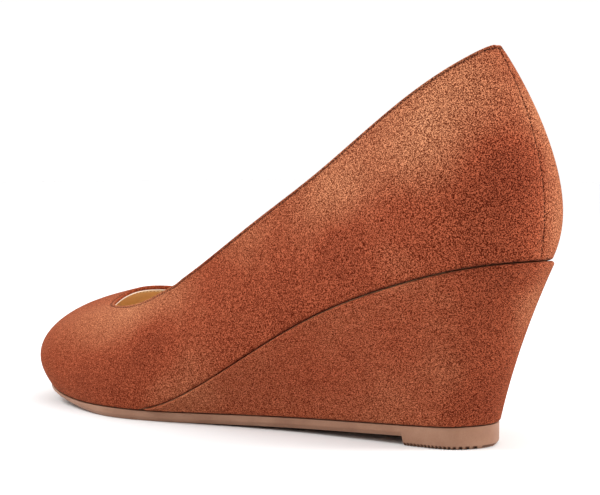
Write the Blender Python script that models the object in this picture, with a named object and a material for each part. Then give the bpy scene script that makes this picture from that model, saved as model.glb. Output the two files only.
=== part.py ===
"""Wedge pump, left shoe: outsole, covered wedge, hollow upper and insole, in metres.

+X points to the toe, +Y to the lateral side and +Z up. The origin is on the floor,
under the middle of the heel lift.
"""

import math

import bmesh
import bpy
import numpy as np

# Driving dimensions, in metres
LENGTH = 0.222            # feather line, from the back of the heel seat to the tip of the toe
BALL_WIDTH = 0.081        # feather line, across the ball of the foot
HEEL_HEIGHT = 0.0578      # floor to the foot, at the back of the heel seat
BACK_HEIGHT = 0.0658      # heel seat to the topline, at the back
VAMP_HEIGHT = 0.037       # sole to the topline, at the throat
WALL = 0.002              # suede, backing and lining of the upper
INSOLE_THICKNESS = 0.0022
SOLE_THICKNESS = 0.0034
TOE_THICKNESS = 0.0017    # the sole thins to this under the toe
TOE_SPRING = 0.0088       # floor to the underside of the sole, at the tip of the toe
LIFT_HEIGHT = 0.0071      # floor to the wedge, at the back of the heel lift
LIFT_LENGTH = 0.0227
LIFT_WIDTH = 0.0330
SEAT_OVERHANG = 0.0186    # the heel seat reaches this far behind the lift
SOLE_BEVEL = 0.0009       # the lower edge of the sole and of the lift is drawn in by this
LIFT_BEVEL_HEIGHT = 0.0011
BREAST_SLANT = 0.0008     # lean of the lift's front face
WEDGE_EDGE = 0.0005       # the wedge is cut off at this thickness
WEDGE_ROUND = 0.0016      # rounded upper and lower edges of the wedge
WEDGE_PROUD = 0.0006      # the wedge stands out this far from the upper and the sole
CLEARANCE = 0.0003        # between neighbouring pieces
MERGE = 1e-6              # points closer than this are one point
HAIR_SHARE = 1e-3         # step that finds a curve's direction, as a share of a station
CLOSE_SHARE = 0.4         # an evenly spaced place this near an edge gives way to it, in steps

# Places along the sole, as shares of LENGTH from the back of the heel seat
ARCH_END_SHARE = 0.575    # the sole is flat on the floor in front of this
SPRING_START_SHARE = 0.68  # and rises from here to the toe
THINNING_SHARES = (0.67, 0.85)  # where it thins towards the toe
ARCH_EASE = 1.15          # how the arch leaves the floor
SPRING_EASE = 2.0
SOLE_BEVEL_SHARE = 0.42   # height of the sole's own bevel, as a share of its thickness
THIN_ROUND_SHARE = 0.4    # most of the wedge's own thickness that its rounded edge may take
FLARE_SHARE = 0.3         # how much more the wedge spreads near its top than near the sole

# Facets
FINE = 80                 # between two stations, where a place is looked up
STEPS = 5                 # between two stations
UPPER_ROWS = 12           # from feather line to topline
WEDGE_ROWS = 6            # from the sole to the rounded edge
ROUND_ROWS = 2            # over each rounded edge

# One row for each station, from the back of the heel to the toe.
# forward is a share of LENGTH, lateral and medial are shares of BALL_WIDTH, pitch is a share
# of the wedge's height. tuck is a share of SEAT_OVERHANG, lift a share of half LIFT_WIDTH,
# and spread says how far the sole has opened from the lift's width to the feather line.
FEATHER_COLUMNS = ("station", "forward", "lateral", "medial", "pitch", "tuck", "lift", "spread")
FEATHER_ROWS = (
    ("back",        0.000, 0.000, 0.000,  1.000, 1.00, 0.00, 0.00),
    ("heel corner", 0.040, 0.212, 0.207,  0.985, 0.72, 0.57, 0.00),
    ("heel side",   0.139, 0.323, 0.313,  0.895, 0.13, 0.90, 0.00),
    ("waist",       0.297, 0.344, 0.304,  0.686, 0.00, 1.00, 0.25),
    ("shank",       0.445, 0.390, 0.321,  0.360, 0.00, 1.00, 0.66),
    ("ball rear",   0.581, 0.481, 0.414,  0.045, 0.00, 1.00, 0.93),
    ("ball",        0.689, 0.533, 0.457, -0.006, 0.00, 1.00, 1.00),
    ("toe side",    0.815, 0.464, 0.432,  0.000, 0.00, 1.00, 1.00),
    ("toe corner",  0.927, 0.312, 0.304,  0.000, 0.00, 1.00, 1.00),
    ("toe",         1.000, -0.049, 0.049, 0.000, 0.00, 1.00, 1.00),
)

# forward and the half widths as above, for the topline. of_back and of_vamp are shares of
# BACK_HEIGHT and VAMP_HEIGHT above the feather line; medial_rise adds to the medial side.
TOP_COLUMNS = ("station", "forward", "lateral", "medial", "of_back", "of_vamp", "medial_rise")
TOP_ROWS = (
    ("back",        0.076, 0.000, 0.000, 1.000, 0.000, 0.00),
    ("heel corner", 0.096, 0.100, 0.096, 0.966, 0.000, 0.00),
    ("heel side",   0.175, 0.227, 0.222, 0.720, 0.232, 0.00),
    ("waist",       0.310, 0.288, 0.278, 0.450, 0.446, 0.01),
    ("shank",       0.432, 0.314, 0.302, 0.300, 0.734, 0.03),
    ("ball rear",   0.558, 0.330, 0.315, 0.120, 1.040, 0.06),
    ("ball",        0.671, 0.323, 0.315, 0.000, 1.000, 0.10),
    ("toe side",    0.765, 0.265, 0.265, 0.000, 0.890, 0.10),
    ("toe corner",  0.822, 0.167, 0.173, 0.000, 0.800, 0.12),
    ("toe",         0.844, -0.012, 0.012, 0.000, 0.810, 0.00),
)

# The wall's swing between the two lines, as shares of BALL_WIDTH: swell and rise place the
# handle above the feather line, lean and fall the one below the topline.
WALL_COLUMNS = ("station", "swell", "rise", "lean", "fall")
WALL_ROWS = (
    ("back",        0.062, 0.300, 0.148, 0.210),
    ("heel corner", 0.142, 0.228, 0.124, 0.210),
    ("heel side",   0.112, 0.232, 0.090, 0.220),
    ("waist",       0.043, 0.220, 0.050, 0.185),
    ("shank",       0.043, 0.220, 0.050, 0.170),
    ("ball rear",   0.040, 0.220, 0.062, 0.170),
    ("ball",        0.045, 0.185, 0.090, 0.110),
    ("toe side",    0.095, 0.185, 0.125, 0.060),
    ("toe corner",  0.162, 0.190, 0.200, 0.050),
    ("toe",         0.146, 0.225, 0.235, 0.045),
)

HALF = len(FEATHER_ROWS) - 1  # stations from the back to the toe
SEAT_BACK = -LIFT_LENGTH / 2 - SEAT_OVERHANG
WEDGE_RISE = HEEL_HEIGHT - LIFT_HEIGHT - CLEARANCE


def place_along(share):
    """Distance from the origin of a share of LENGTH, counted from the back of the heel seat."""
    return SEAT_BACK + LENGTH * share


def column(rows, names, name):
    """One named column of a table, as an array."""
    place = names.index(name)
    return np.array([row[place] for row in rows])


def closed_spline(lateral, medial, where):
    """Smooth closed curve through one value per station, read at places counted in stations.

    The loop runs down the lateral side from the back to the toe and returns on the medial
    side. Solving for the second derivative at each station gives a cubic without a kink.
    """
    knots = np.concatenate([lateral, medial[-2:0:-1]])
    count = len(knots)
    around = np.eye(count)
    system = 4 * around + np.roll(around, 1, axis=1) + np.roll(around, -1, axis=1)
    bend = np.linalg.solve(system, 6 * (np.roll(knots, 1) - 2 * knots + np.roll(knots, -1)))
    first = np.floor(where).astype(int) % count
    after = (first + 1) % count
    far = where - np.floor(where)
    near = 1 - far
    return (near * knots[first] + far * knots[after]
            + ((near**3 - near) * bend[first] + (far**3 - far) * bend[after]) / 6)


def feather(name, where):
    """A column of the feather table around the loop, the same on both sides."""
    values = column(FEATHER_ROWS, FEATHER_COLUMNS, name)
    return closed_spline(values, values, where)


def feather_plan(where):
    """Plan of the feather line: x and y at each place around the loop."""
    lateral = column(FEATHER_ROWS, FEATHER_COLUMNS, "lateral")
    medial = column(FEATHER_ROWS, FEATHER_COLUMNS, "medial")
    across = closed_spline(lateral, -medial, where)
    return place_along(feather("forward", where)), BALL_WIDTH * across


def sole_plan(where):
    """Plan of the sole: the feather line drawn in to the lift's outline under the heel."""
    x, y = feather_plan(where)
    half = column(FEATHER_ROWS, FEATHER_COLUMNS, "lift")
    lift = LIFT_WIDTH / 2 * closed_spline(half, -half, where)
    return x + SEAT_OVERHANG * feather("tuck", where), lift + feather("spread", where) * (y - lift)


def outward(plan, where):
    """Unit normals of a plan curve that runs from the back round the lateral side."""
    before = np.stack(plan(where - HAIR_SHARE))
    after = np.stack(plan(where + HAIR_SHARE))
    along_x, along_y = (after - before) / np.hypot(*(after - before))
    return -along_y, along_x


def drawn_in(plan, where, distance):
    """A plan curve moved inwards, square to itself, by one distance or one per place."""
    x, y = plan(where)
    side_x, side_y = outward(plan, where)
    return x - distance * side_x, y - distance * side_y


def ease(value):
    """Smooth step from 0 to 1."""
    value = np.clip(value, 0, 1)
    return value * value * (3 - 2 * value)


def sole_thickness(x):
    """Even from the lift to the ball, then eased down to the toe's thickness."""
    start, end = (place_along(share) for share in THINNING_SHARES)
    return SOLE_THICKNESS + (TOE_THICKNESS - SOLE_THICKNESS) * ease((x - start) / (end - start))


def sole_spring(x):
    """Height of the underside in front of the ball: it rises to the toe as a power curve."""
    start = place_along(SPRING_START_SHARE)
    share = np.clip((x - start) / (place_along(1) - start), 0, None)
    return TOE_SPRING * share**SPRING_EASE


def sole_arch(x):
    """How far the sole's top has risen behind the ball, on its way to the lift's height."""
    end = place_along(ARCH_END_SHARE)
    share = np.clip((end - x) / (end + LIFT_LENGTH / 2), 0, None)
    return (LIFT_HEIGHT - SOLE_THICKNESS) * share**ARCH_EASE


def sole_top(x):
    """Height of the sole's upper face."""
    return sole_thickness(x) + sole_spring(x) + sole_arch(x)


def wedge_rise(x):
    """Thickness of the wedge, which runs out to nothing at the ball."""
    where = np.linspace(0, HALF, HALF * FINE + 1)
    pitch = np.interp(x, feather_plan(where)[0], feather("pitch", where))
    return WEDGE_RISE * np.clip(pitch, 0, None)


def foot_height(x):
    """Height of what the upper and the insole stand on: the wedge on its gap, or the sole."""
    rise = wedge_rise(x)
    return sole_top(x) + rise + CLEARANCE * np.clip(rise / WEDGE_EDGE, 0, 1)


def stations(steps=STEPS):
    """Places around the whole loop, counted in stations."""
    return np.arange(2 * HALF * steps) / steps


def wall_values(name, where):
    """A column of the wall table around the loop, in metres."""
    values = column(WALL_ROWS, WALL_COLUMNS, name)
    return BALL_WIDTH * closed_spline(values, values, where)


def topline(where):
    """Points of the topline, one for each place around the loop."""
    forward = column(TOP_ROWS, TOP_COLUMNS, "forward")
    lateral = column(TOP_ROWS, TOP_COLUMNS, "lateral")
    medial = column(TOP_ROWS, TOP_COLUMNS, "medial")
    of_back = column(TOP_ROWS, TOP_COLUMNS, "of_back")
    of_vamp = column(TOP_ROWS, TOP_COLUMNS, "of_vamp")
    more = column(TOP_ROWS, TOP_COLUMNS, "medial_rise")
    x = place_along(closed_spline(forward, forward, where))
    y = BALL_WIDTH * closed_spline(lateral, -medial, where)
    above = (BACK_HEIGHT * closed_spline(of_back, of_back, where)
             + VAMP_HEIGHT * closed_spline(of_vamp, of_vamp + more, where))
    return np.stack([x, y, above + foot_height(feather_plan(where)[0])], -1)


def bezier(t, start, lower, upper, end):
    """Cubic Bezier between two rows of points, at one or more shares of the way."""
    return (1 - t)**3 * start + 3 * t * (1 - t)**2 * lower + 3 * t**2 * (1 - t) * upper + t**3 * end


def upper_surface(where, rows):
    """Outer face of the upper, as a grid of points: places around by rows from the bottom up.

    Each place is a cubic Bezier from the feather line to the topline. Its lower handle
    swells outwards as it rises, and its upper handle leans outwards below the topline.
    """
    x, y = feather_plan(where)
    side = np.stack([*outward(feather_plan, where), np.zeros_like(x)], -1)
    up = np.array([0, 0, 1.0])
    swell, rise, lean, fall = (wall_values(name, where)[:, None] for name in WALL_COLUMNS[1:])
    foot = np.stack([x, y, foot_height(x) + CLEARANCE], -1)
    head = topline(where)
    low = foot + side * swell + up * rise
    high = head + side * lean - up * fall
    foot, low, high, head = (points[:, None, :] for points in (foot, low, high, head))
    return bezier(rows[None, :, None], foot, low, high, head)


def surface_normals(grid):
    """Unit normals of a grid that is closed around and open up and down, pointing outwards."""
    around = np.roll(grid, -1, axis=0) - np.roll(grid, 1, axis=0)
    upward = np.gradient(grid, axis=1)
    normal = np.cross(upward, around)
    return normal / np.linalg.norm(normal, axis=-1, keepdims=True)


def wedge_side(where):
    """Loops of the wedge's cover: out around its lower edge, up its side and over its top edge.

    Both edges are quarter circles that stand out a little from the sole and the upper, and
    that shrink as the wedge thins. Between them each place is a cubic Bezier that spreads
    more near the top than near the sole.
    """
    x, y = sole_plan(where)
    foot = np.stack([x, y, sole_top(x) + CLEARANCE], -1)
    foot_side = np.stack([*outward(sole_plan, where), np.zeros_like(x)], -1)
    x, y = feather_plan(where)
    head = np.stack([x, y, foot_height(x)], -1)
    head_side = np.stack([*outward(feather_plan, where), np.zeros_like(x)], -1)
    turn = np.minimum(WEDGE_ROUND, THIN_ROUND_SHARE * (head - foot)[:, 2])[:, None]
    proud = turn * WEDGE_PROUD / WEDGE_ROUND
    up = np.array([0, 0, 1.0])
    low = foot + foot_side * proud + up * turn
    high = head + head_side * proud - up * turn
    angles = np.linspace(0, math.pi / 2, ROUND_ROWS + 1)[1:]
    corner = [(math.sin(angle), 1 - math.cos(angle)) for angle in angles]
    loops = [low - turn * (up * rise + foot_side * inset) for rise, inset in corner[::-1]]
    reach = (high - low) / 3
    level = np.array([1, 1, 0.0])
    lower = low + reach * (1 - level * FLARE_SHARE)
    upper = high - reach * (1 + level * FLARE_SHARE)
    loops += [bezier(t, low, lower, upper, high) for t in np.linspace(0, 1, WEDGE_ROWS + 1)]
    loops += [high + turn * (up * rise - head_side * inset) for rise, inset in corner]
    return loops


def ladder(count, offset=0):
    """Faces that span a loop of points side to side, from its back point to its front one."""
    half = count // 2
    faces = []
    for k in range(half):
        near, far = k, k + 1
        corners = [near, far, (count - far) % count, (count - near) % count]
        faces.append([offset + corner for corner in dict.fromkeys(corners)])
    return faces


def band(count, lower, upper):
    """Faces between two loops of points, from the lower loop to the upper one."""
    return [[lower + k, upper + k, upper + (k + 1) % count, lower + (k + 1) % count] for k in range(count)]


def new_object(name, points, faces, material, sharp_degrees=35):
    """One closed solid from points and faces, with its normals turned outwards."""
    mesh = bpy.data.meshes.new(name)
    mesh.from_pydata([tuple(point) for point in points], [], faces)
    solid = bmesh.new()
    solid.from_mesh(mesh)
    bmesh.ops.remove_doubles(solid, verts=solid.verts, dist=MERGE)
    bmesh.ops.dissolve_degenerate(solid, edges=solid.edges, dist=MERGE)
    bmesh.ops.recalc_face_normals(solid, faces=solid.faces)
    solid.to_mesh(mesh)
    solid.free()
    mesh.shade_smooth()
    mesh.set_sharp_from_angle(angle=math.radians(sharp_degrees))
    mesh.materials.append(material)
    thing = bpy.data.objects.new(name, mesh)
    bpy.context.scene.collection.objects.link(thing)
    return thing


def new_material(name, colour, roughness):
    material = bpy.data.materials.new(name)
    material.use_nodes = True
    shader = material.node_tree.nodes["Principled BSDF"]
    shader.inputs["Base Color"].default_value = (*colour, 1)
    shader.inputs["Roughness"].default_value = roughness
    shader.inputs["Metallic"].default_value = 0
    return material


def make_upper(material):
    """Hollow shell: outer face, inner face one wall inside it, and the two rims between."""
    where = stations()
    outer = upper_surface(where, np.linspace(0, 1, UPPER_ROWS + 1))
    inner = outer - WALL * surface_normals(outer)
    x, y = drawn_in(feather_plan, where, WALL)
    inner[:, 0] = np.stack([x, y, foot_height(x) + CLEARANCE], -1)
    loops = [outer[:, row] for row in range(UPPER_ROWS + 1)]
    loops += [inner[:, row] for row in range(UPPER_ROWS, -1, -1)]
    count = len(where)
    faces = []
    for number in range(len(loops)):
        faces += band(count, number * count, (number + 1) % len(loops) * count)
    return new_object("upper", np.concatenate(loops), faces, material)


def make_insole(material):
    """Board and sock: one even sheet inside the upper, following the foot's height."""
    where = stations()
    x, y = drawn_in(feather_plan, where, WALL + CLEARANCE)
    bottom = np.stack([x, y, foot_height(x) + CLEARANCE], -1)
    top = bottom + [0, 0, INSOLE_THICKNESS]
    count = len(where)
    faces = band(count, 0, count) + ladder(count) + ladder(count, count)
    return new_object("insole", np.concatenate([bottom, top]), faces, material)


def wedge_front():
    """Place, in stations, where the wedge has thinned to its cut edge."""
    where = np.linspace(0, HALF, HALF * FINE + 1)
    rise = wedge_rise(feather_plan(where)[0])
    return np.interp(-WEDGE_EDGE, -rise, where)


def wedge_stations(front):
    """Places down the lateral side to the front edge, and back along the medial side."""
    near = stations()
    lateral = np.append(near[near < front - CLOSE_SHARE / STEPS], front)
    return np.concatenate([lateral, 2 * HALF - lateral[:0:-1]])


def make_wedge(material):
    """Solid wedge between the sole and the foot, cut off where it has run out at the ball."""
    where = wedge_stations(wedge_front())
    loops = wedge_side(where)
    count = len(where)
    faces = ladder(count) + ladder(count, (len(loops) - 1) * count)
    for number in range(len(loops) - 1):
        faces += band(count, number * count, (number + 1) * count)
    return new_object("wedge", np.concatenate(loops), faces, material)


def outsole_stations():
    """Places around the sole, with one at each edge of the lift's slanted front face."""
    fine = np.linspace(0, HALF, HALF * FINE + 1)
    x = sole_plan(fine)[0]
    breast = np.interp([LIFT_LENGTH / 2 - BREAST_SLANT, LIFT_LENGTH / 2], x, fine)
    near = np.arange(HALF * STEPS + 1) / STEPS
    rear = near[near < breast[0] - CLOSE_SHARE / STEPS]
    front = near[near > breast[1] + CLOSE_SHARE / STEPS]
    lateral = np.concatenate([rear, breast, front])
    on_lift = lateral <= breast[0]
    return (np.concatenate([lateral, 2 * HALF - lateral[-2:0:-1]]),
            np.concatenate([on_lift, on_lift[-2:0:-1]]))


def make_outsole(material):
    """Moulded sole and heel lift: top edge, widest edge above the bevel, and lower edge."""
    where, on_lift = outsole_stations()
    x, y = sole_plan(where)
    top = np.stack([x, y, sole_top(x)], -1)
    under = sole_top(x) - sole_thickness(x)
    middle = np.where(on_lift, LIFT_BEVEL_HEIGHT, under + SOLE_BEVEL_SHARE * sole_thickness(x))
    edge = np.stack([x, y, middle], -1)
    x, y = drawn_in(sole_plan, where, SOLE_BEVEL)
    under = sole_top(x) - sole_thickness(x)
    bottom = np.stack([x, y, np.where(on_lift, 0, under)], -1)
    count = len(where)
    faces = ladder(count) + band(count, 0, count) + band(count, count, 2 * count)
    faces += ladder(count, 2 * count)
    return new_object("outsole", np.concatenate([bottom, edge, top]), faces, material)


for thing in list(bpy.data.objects):
    bpy.data.objects.remove(thing)

suede = new_material("suede", (0.376, 0.091, 0.038), 0.85)
wedge_suede = new_material("wedge suede", (0.330, 0.078, 0.034), 0.88)
rubber = new_material("sole rubber", (0.386, 0.195, 0.125), 0.6)
sock = new_material("insole sock", (0.670, 0.445, 0.216), 0.55)

make_outsole(rubber)
make_wedge(wedge_suede)
make_upper(suede)
make_insole(sock)
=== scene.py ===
"""Looks of the wedge pump: napped cloth on the upper and the wedge, lining, sock and rubber sole.

Every length is in metres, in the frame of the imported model: +X to the toe, +Y to the lateral
side of this left shoe, +Z up, with the origin on the floor under the heel lift.
"""

import math

import bmesh
import bpy
import numpy as np
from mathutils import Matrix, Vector


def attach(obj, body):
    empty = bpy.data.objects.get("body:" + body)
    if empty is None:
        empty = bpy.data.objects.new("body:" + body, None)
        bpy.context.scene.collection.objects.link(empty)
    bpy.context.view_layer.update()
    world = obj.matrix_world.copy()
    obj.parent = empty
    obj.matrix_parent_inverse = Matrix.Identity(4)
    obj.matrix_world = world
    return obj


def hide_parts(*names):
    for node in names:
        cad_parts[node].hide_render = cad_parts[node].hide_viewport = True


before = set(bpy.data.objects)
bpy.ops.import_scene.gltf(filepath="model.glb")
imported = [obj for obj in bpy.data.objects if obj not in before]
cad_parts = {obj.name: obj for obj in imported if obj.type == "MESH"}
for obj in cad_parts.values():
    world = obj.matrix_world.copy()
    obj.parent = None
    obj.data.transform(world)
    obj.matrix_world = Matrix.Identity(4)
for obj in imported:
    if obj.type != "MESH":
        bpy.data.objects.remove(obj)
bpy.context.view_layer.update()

# Sizes and shares that the last, the wedge and the sole were constructed with
LENGTH = 0.222
BALL_WIDTH = 0.081
HEEL_HEIGHT = 0.0578
BACK_HEIGHT = 0.0658
VAMP_HEIGHT = 0.037
WALL = 0.002
INSOLE_THICKNESS = 0.0022
SOLE_THICKNESS = 0.0034
TOE_THICKNESS = 0.0017
TOE_SPRING = 0.0088
LIFT_HEIGHT = 0.0071
LIFT_LENGTH = 0.0227
LIFT_WIDTH = 0.0330
SEAT_OVERHANG = 0.0186
SOLE_BEVEL = 0.0009
LIFT_BEVEL_HEIGHT = 0.0011
BREAST_SLANT = 0.0008
WEDGE_EDGE = 0.0005
WEDGE_PROUD = 0.0006
CLEARANCE = 0.0003
ARCH_END_SHARE = 0.575
SPRING_START_SHARE = 0.68
THINNING_SHARES = (0.67, 0.85)
ARCH_EASE = 1.15
SPRING_EASE = 2.0
SOLE_BEVEL_SHARE = 0.42
THIN_ROUND_SHARE = 0.4
FLARE_SHARE = 0.3

# Columns and rows as in the construction: shares of the sizes above, one row per station
FEATHER_COLUMNS = ("station", "forward", "lateral", "medial", "pitch", "tuck", "lift", "spread")
FEATHER_ROWS = (
    ("back",        0.000, 0.000, 0.000,  1.000, 1.00, 0.00, 0.00),
    ("heel corner", 0.040, 0.212, 0.207,  0.985, 0.72, 0.57, 0.00),
    ("heel side",   0.139, 0.323, 0.313,  0.895, 0.13, 0.90, 0.00),
    ("waist",       0.297, 0.344, 0.304,  0.686, 0.00, 1.00, 0.25),
    ("shank",       0.445, 0.390, 0.321,  0.360, 0.00, 1.00, 0.66),
    ("ball rear",   0.581, 0.481, 0.414,  0.045, 0.00, 1.00, 0.93),
    ("ball",        0.689, 0.533, 0.457, -0.006, 0.00, 1.00, 1.00),
    ("toe side",    0.815, 0.464, 0.432,  0.000, 0.00, 1.00, 1.00),
    ("toe corner",  0.927, 0.312, 0.304,  0.000, 0.00, 1.00, 1.00),
    ("toe",         1.000, -0.049, 0.049, 0.000, 0.00, 1.00, 1.00),
)
TOP_COLUMNS = ("station", "forward", "lateral", "medial", "of_back", "of_vamp", "medial_rise")
TOP_ROWS = (
    ("back",        0.076, 0.000, 0.000, 1.000, 0.000, 0.00),
    ("heel corner", 0.096, 0.100, 0.096, 0.966, 0.000, 0.00),
    ("heel side",   0.175, 0.227, 0.222, 0.720, 0.232, 0.00),
    ("waist",       0.310, 0.288, 0.278, 0.450, 0.446, 0.01),
    ("shank",       0.432, 0.314, 0.302, 0.300, 0.734, 0.03),
    ("ball rear",   0.558, 0.330, 0.315, 0.120, 1.040, 0.06),
    ("ball",        0.671, 0.323, 0.315, 0.000, 1.000, 0.10),
    ("toe side",    0.765, 0.265, 0.265, 0.000, 0.890, 0.10),
    ("toe corner",  0.822, 0.167, 0.173, 0.000, 0.800, 0.12),
    ("toe",         0.844, -0.012, 0.012, 0.000, 0.810, 0.00),
)
WALL_COLUMNS = ("station", "swell", "rise", "lean", "fall")
WALL_ROWS = (
    ("back",        0.062, 0.300, 0.148, 0.210),
    ("heel corner", 0.142, 0.228, 0.124, 0.210),
    ("heel side",   0.112, 0.232, 0.090, 0.220),
    ("waist",       0.043, 0.220, 0.050, 0.185),
    ("shank",       0.043, 0.220, 0.050, 0.170),
    ("ball rear",   0.040, 0.220, 0.062, 0.170),
    ("ball",        0.045, 0.185, 0.090, 0.110),
    ("toe side",    0.095, 0.185, 0.125, 0.060),
    ("toe corner",  0.162, 0.190, 0.200, 0.050),
    ("toe",         0.146, 0.225, 0.235, 0.045),
)
HALF = len(FEATHER_ROWS) - 1  # stations from the back to the toe
SEAT_BACK = -LIFT_LENGTH / 2 - SEAT_OVERHANG
WEDGE_RISE = HEEL_HEIGHT - LIFT_HEIGHT - CLEARANCE
HAIR_SHARE = 1e-3  # step that finds a curve's direction, as a share of a station
FINE = 80  # places between two stations where a curve is looked up
NO_LENGTH = 1e-12
SAME_POINT = 1e-7  # points closer than this become one
FAR_BELOW = 1.0  # depth of rows that lie nowhere near the topline
UP = np.array([0, 0, 1.0])

# Upper, lining and the wedge's cover
CLOTH = 0.0010  # napped cloth and its backing
COVER_ROUND = 0.0010  # it turns over the wedge's edges this tightly
EDGE_ROLL = 0.0007  # radius of the cloth folded over the topline
FOLD_SQUARE = 0.75  # power that squares the fold a little
FOLD_SHOWN = 0.0003  # the fold shows this far down inside
FOLD_TAIL = 0.0006  # and runs on this far behind the lining
TUCK = 0.0009  # rounding where the upper turns in over the wedge and the sole
EDGE_BAND = 0.0040  # rows are close together this far below the topline
SEAM_WIDTH = 0.00034  # half width of the back seam's trough
SEAM_DEPTH = 0.00030  # and its depth
SEAM_PUCKER = 0.0016  # half width of the softer dip beside it
SEAM_PUCKER_DEPTH = 0.00022
STITCH_DOWN = 0.0013  # the stitch row below the topline
STITCH_GROOVE = 0.00016
STITCH_GROOVE_WIDTH = 0.0005
LINING_IN = -0.0001  # how far the lining's face lies inside the wall's, at its cut edge
LINING_FLAT = 0.00015  # and this far lower down
LINING_SETTLE = (0.0015, 0.0060)  # depths between which it goes from one to the other
LINING_THICKNESS = 0.0005
CUT_EDGE = 0.0020  # height of the lining's pale edge
LINING_STITCH_DOWN = 0.0016

# Sock
SOCK_CURL = 0.0009  # its edge turns up by this
SOCK_CURL_SHARE = 0.16  # over this share of its half width
SOCK_CROWN = 0.0005  # its middle stands this much higher
SOCK_ROUND = 0.0006

# Thread
STITCH_PITCH = 0.00145
STITCH_LENGTH = 0.00105
STITCH_WIDTH = 0.00030
SEAM_STITCH_PITCH = 0.00125
SEAM_STITCH_LENGTH = 0.00075
SEAM_STITCH_WIDTH = 0.00022
SEAM_STITCH_UP = 0.00016  # the seam's thread stands this far above the trough's bottom
SEAM_STITCH_ENDS = (0.02, 0.985)  # where its row starts and ends, as shares of the wall
SEAM_POINTS = 400
BESIDE_STITCH = 0.0002  # rows this far to both sides give the face's slope
BESIDE_SEAM = 0.01  # and places this far to both sides, in stations
THREAD_RINGS = 7
THREAD_SIDES = 8
THREAD_SAG = 0.35  # a stitch's ends sink by this share of its width

# Sole
TREAD_PITCH = 0.00121  # ribs across the lift
TREAD_DEPTH = 0.00085
FOREFOOT_PITCH = 0.0030
FOREFOOT_DEPTH = 0.00035
FOREFOOT_TREAD = (0.098, 0.176)
TREAD_FADE = 0.002  # the tread starts and ends over this length
TREAD_MARGIN = 0.0055  # and stays this far inside the sole's outline
RIB_MIDDLE = 0.5  # a rib's side: middle and half height of the cosine cut off at 0 and 1
RIB_STEEPNESS = 1.6
SOFT_EDGE = 0.00035  # rounding of the rubber's edges
NUDGE = 1e-9  # keeps a direction where a row meets its own middle line

# Rows and places
AROUND = 560
SEAM_SPAN = 0.12  # in stations, each side of the back seam
SEAM_PLACES = 44
WALL_ROW_COUNT = 46
EDGE_ROW_COUNT = 20
ROLL_ROWS = 9
LINING_CLOSE_ROWS = 28
LINING_EVEN_ROWS = 32
LIP_ROWS = 7
PIECE_STEPS = 30  # places between two stations on the sock, the sole and the wedge
WEDGE_SHARE = 0.6  # the wedge's share of them, because it ends at the ball
WEDGE_ROWS = 40
CORNER_ROWS = 6  # over each of the wedge's soft edges
SOCK_ROWS = 24
SOCK_CROWDING = 1.3  # powers that draw rows together at an edge
SOLE_ROWS = 14
SOLE_CROWDING = 1.2
PLACES_PER_RIB = 10
BREAST_GAP = 0.002  # even places stay this far from the lift's front, in stations

# Shade in the cloth's seams and edges, from 0 to 1
SEAM_SHADE = 0.9  # on both sides of the wedge seam
SEAM_SHADE_END = 0.115  # which ends here, and fades over the length below
SEAM_SHADE_FADE = 0.050
HEM_SHADE = 0.06  # along the wedge's foot
STITCH_SHADE = 0.45  # beside the stitches below the topline
EDGE_SHADE = 0.18  # between them and the fold
THROAT_FADE = 0.7  # how much of the stitches' shade goes in front, from where, how fast
THROAT_FADE_START = 0.100
THROAT_FADE_LENGTH = 0.020
BACK_SEAM_SHADE = 0.18
BACK_SEAM_SHADE_WIDTH = 0.00030
# Painted shade in the lift's grooves
GROOVE_SHADE_ABOVE = 0.8  # share of the lift's dark grooves that shows on its side

# Nap: sizes of its noises, and how much each one counts
GRAIN_SIZE = 0.00034
TUFT_SIZE = 0.0013
MOTTLE_SIZE = 0.0070
PATCH_SIZE = 0.034
GRAIN_WEIGHT = 4.1
TUFT_WEIGHT = 0.06
MOTTLE_WEIGHT = 0.07
PATCH_WEIGHT = 0.14
# Weight of the patches of painted light and shade in the tone
PAINTED_LIGHT_AND_NAP_WEIGHT = 0.30
NAP_HEIGHT = 0.00036
TUFT_HEIGHT = 0.2  # as a share of the grain's
CRISP_HEEL = 1.0  # strength of the grain at the heel
CRISP_TOE = 0.30  # and at the toe
CRISP_FALL = 0.7  # power of the way between them


def place_along(share):
    """Distance from the origin of a share of LENGTH, counted from the back of the heel seat."""
    return SEAT_BACK + LENGTH * share


def column(rows, names, name):
    """One named column of a table, as an array."""
    place = names.index(name)
    return np.array([row[place] for row in rows])


def closed_spline(lateral, medial, where):
    """Smooth closed curve through one value per station, read at places counted in stations.

    Between two stations it is a cubic whose second derivative runs straight from one
    station's to the next one's. Those are solved from the values all round the loop.
    """
    knots = np.concatenate([lateral, medial[-2:0:-1]])
    count = len(knots)
    around = np.eye(count)
    system = 4 * around + np.roll(around, 1, axis=1) + np.roll(around, -1, axis=1)
    bend = np.linalg.solve(system, 6 * (np.roll(knots, 1) - 2 * knots + np.roll(knots, -1)))
    first = np.floor(where).astype(int) % count
    after = (first + 1) % count
    far = where - np.floor(where)
    near = 1 - far
    return (near * knots[first] + far * knots[after]
            + ((near**3 - near) * bend[first] + (far**3 - far) * bend[after]) / 6)


def feather(name, where):
    """A column of the feather table around the loop, the same on both sides."""
    values = column(FEATHER_ROWS, FEATHER_COLUMNS, name)
    return closed_spline(values, values, where)


def feather_plan(where):
    """Plan of the feather line, where the upper meets the wedge and the sole."""
    lateral = column(FEATHER_ROWS, FEATHER_COLUMNS, "lateral")
    medial = column(FEATHER_ROWS, FEATHER_COLUMNS, "medial")
    across = closed_spline(lateral, -medial, where)
    return place_along(feather("forward", where)), BALL_WIDTH * across


def sole_plan(where):
    """Plan of the sole: the feather line drawn in to the lift's outline under the heel."""
    x, y = feather_plan(where)
    half = column(FEATHER_ROWS, FEATHER_COLUMNS, "lift")
    lift = LIFT_WIDTH / 2 * closed_spline(half, -half, where)
    return x + SEAT_OVERHANG * feather("tuck", where), lift + feather("spread", where) * (y - lift)


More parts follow.
